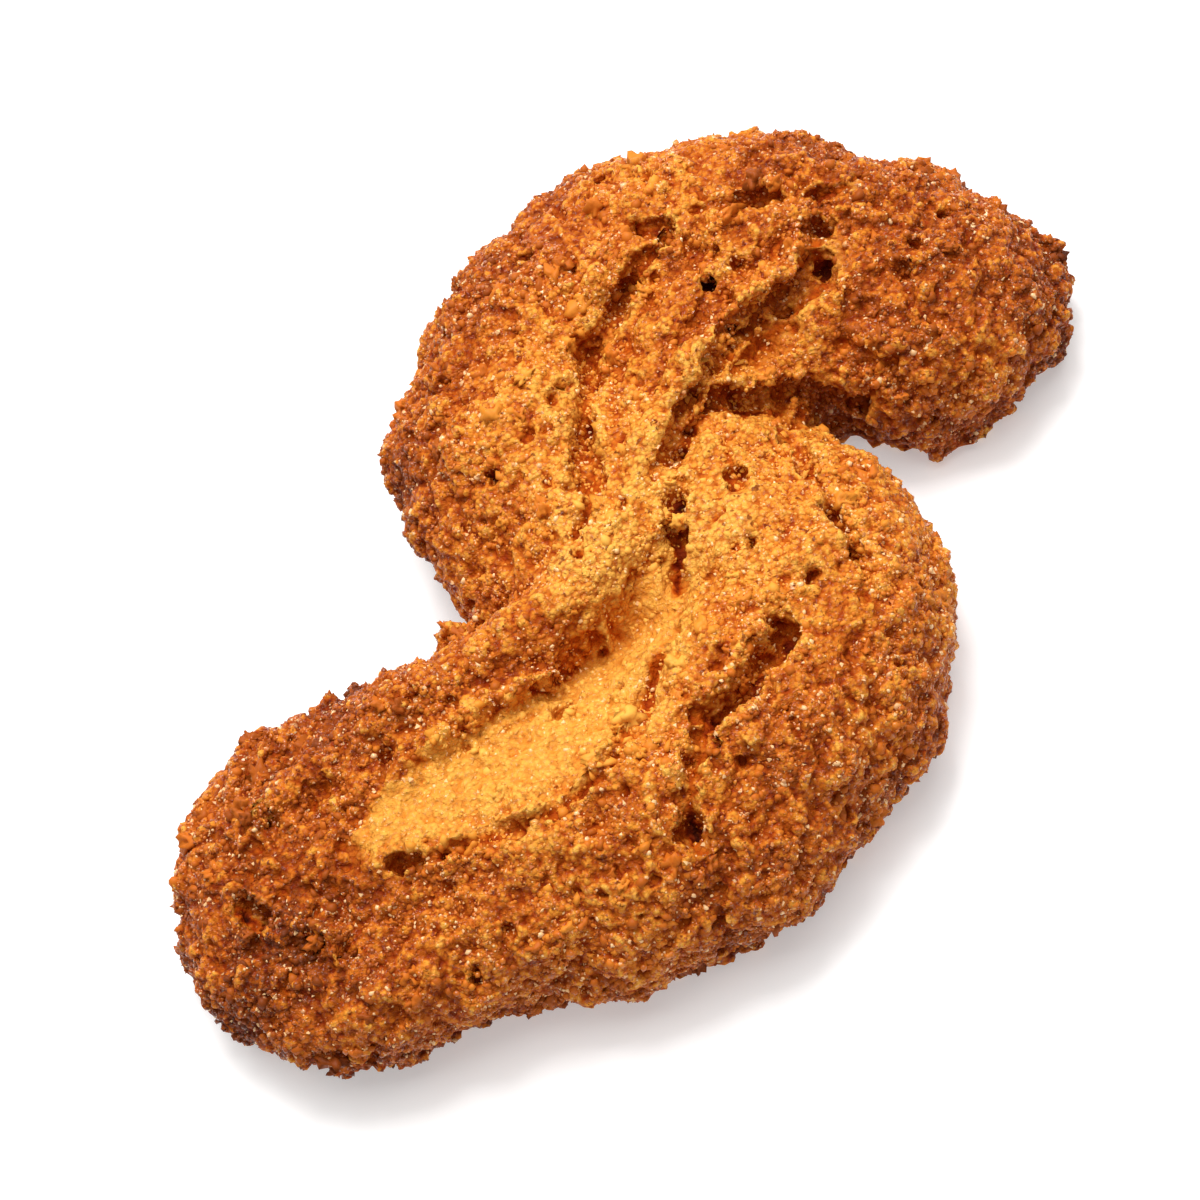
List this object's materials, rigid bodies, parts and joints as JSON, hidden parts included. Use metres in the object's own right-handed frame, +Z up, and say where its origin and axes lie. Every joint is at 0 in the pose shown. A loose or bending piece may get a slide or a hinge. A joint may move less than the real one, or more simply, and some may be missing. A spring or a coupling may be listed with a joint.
{
  "type": "cookie",
  "caption": "S-shaped cookie of crumbly golden-brown dough, a thick bent rope with a split, craggy crust and a flat base.",
  "frame": {"origin": "middle of the bounding box of the flat base, on the surface that the cookie lies on", "axes": "+X along the S's longer side, from the lower curl's end to the upper curl's end, +Y across it towards the upper curl, +Z up out of the baked crust"},
  "size_m": [0.0912, 0.0708, 0.0178],
  "materials": {
    "baked_dough": "matte, granular baked crust"
  },
  "bodies": {
    "root": {"cookie": "baked_dough"}
  },
  "joints": []
}
